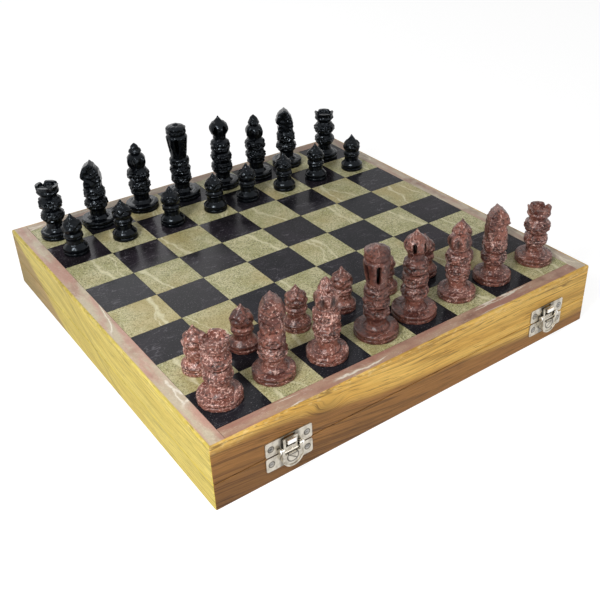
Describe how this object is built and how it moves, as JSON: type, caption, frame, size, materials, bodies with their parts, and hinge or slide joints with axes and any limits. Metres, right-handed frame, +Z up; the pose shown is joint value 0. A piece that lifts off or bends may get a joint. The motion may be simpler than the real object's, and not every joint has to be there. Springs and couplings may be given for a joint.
{
  "type": "chess box with hinged lid",
  "caption": "Wooden chess box: a stone chessboard lid on back hinges, toggle latches at the front, and carved stone men set out on top.",
  "frame": {"origin": "centre of the underside of the box", "axes": "+X along the latch side, +Y from the latch side to the hinge side, +Z up"},
  "size_m": [0.305, 0.3144, 0.1079],
  "materials": {
    "frame_wood": "oiled, yellow sapwood with brown heartwood streaks",
    "plywood": "plain sanded",
    "felt": "short green pile",
    "green_stone": "honed, speckled, pale veins",
    "black_stone": "polished, faint pale veins",
    "pink_stone": "honed, cream and grey veins",
    "red_stone": "waxed, pale flecks",
    "black_men_stone": "glossy",
    "nickel": "bright nickel plate on pressed steel",
    "hinge_brass": "plain brass",
    "screw_steel": "bright"
  },
  "bodies": {
    "base": {"base_front_rail": "frame_wood", "base_back_rail": "frame_wood", "base_left_rail": "frame_wood", "base_right_rail": "frame_wood", "base_floor": "plywood", "base_lining": "felt", "left_hinge_base_leaf": "hinge_brass", "right_hinge_base_leaf": "hinge_brass", "left_hinge_pin": "hinge_brass", "right_hinge_pin": "hinge_brass", "base_hinge_screws": "screw_steel", "left_latch_base_plate": "nickel", "right_latch_base_plate": "nickel", "left_latch_rivets": "nickel", "right_latch_rivets": "nickel", "base_latch_screws": "screw_steel"},
    "lid": {"lid_front_rail": "frame_wood", "lid_back_rail": "frame_wood", "lid_left_rail": "frame_wood", "lid_right_rail": "frame_wood", "lid_panel": "plywood", "lid_lining": "felt", "light_tiles": "green_stone", "dark_tiles": "black_stone", "border_front": "pink_stone", "border_back": "pink_stone", "border_left": "pink_stone", "border_right": "pink_stone", "left_hinge_lid_leaf": "hinge_brass", "right_hinge_lid_leaf": "hinge_brass", "lid_hinge_screws": "screw_steel", "left_latch_keeper": "nickel", "right_latch_keeper": "nickel", "lid_latch_screws": "screw_steel", "red_rooks": "red_stone", "red_knights": "red_stone", "red_bishops": "red_stone", "red_queen": "red_stone", "red_king": "red_stone", "red_pawns": "red_stone", "dark_rooks": "black_men_stone", "dark_knights": "black_men_stone", "dark_bishops": "black_men_stone", "dark_queen": "black_men_stone", "dark_king": "black_men_stone", "dark_pawns": "black_men_stone"},
    "left_lever": {"left_latch_lever": "nickel", "left_latch_cross_pin": "nickel"},
    "left_loop": {"left_latch_loop": "nickel"},
    "right_lever": {"right_latch_lever": "nickel", "right_latch_cross_pin": "nickel"},
    "right_loop": {"right_latch_loop": "nickel"}
  },
  "joints": [
    {"name": "lid_hinge", "type": "hinge", "parent": "base", "child": "lid", "pos_m": [0, 0.15505, 0.0191], "axis": [-1, 0, 0], "range_deg": [0, 100]},
    {"name": "left_lever_hinge", "type": "hinge", "parent": "base", "child": "left_lever", "pos_m": [-0.1038, -0.1552, 0.0218], "axis": [-1, 0, 0], "range_deg": [0, 105]},
    {"name": "left_loop_hinge", "type": "hinge", "parent": "left_lever", "child": "left_loop", "pos_m": [-0.1038, -0.1546, 0.019], "axis": [1, 0, 0], "range_deg": [0, 80]},
    {"name": "right_lever_hinge", "type": "hinge", "parent": "base", "child": "right_lever", "pos_m": [0.1106, -0.1552, 0.0218], "axis": [-1, 0, 0], "range_deg": [0, 105]},
    {"name": "right_loop_hinge", "type": "hinge", "parent": "right_lever", "child": "right_loop", "pos_m": [0.1106, -0.1546, 0.019], "axis": [1, 0, 0], "range_deg": [0, 80]}
  ],
  "couplings": [
    {"joint": "left_loop_hinge", "follows": "left_lever_hinge", "ratio": 0.76},
    {"joint": "right_loop_hinge", "follows": "right_lever_hinge", "ratio": 0.76}
  ]
}
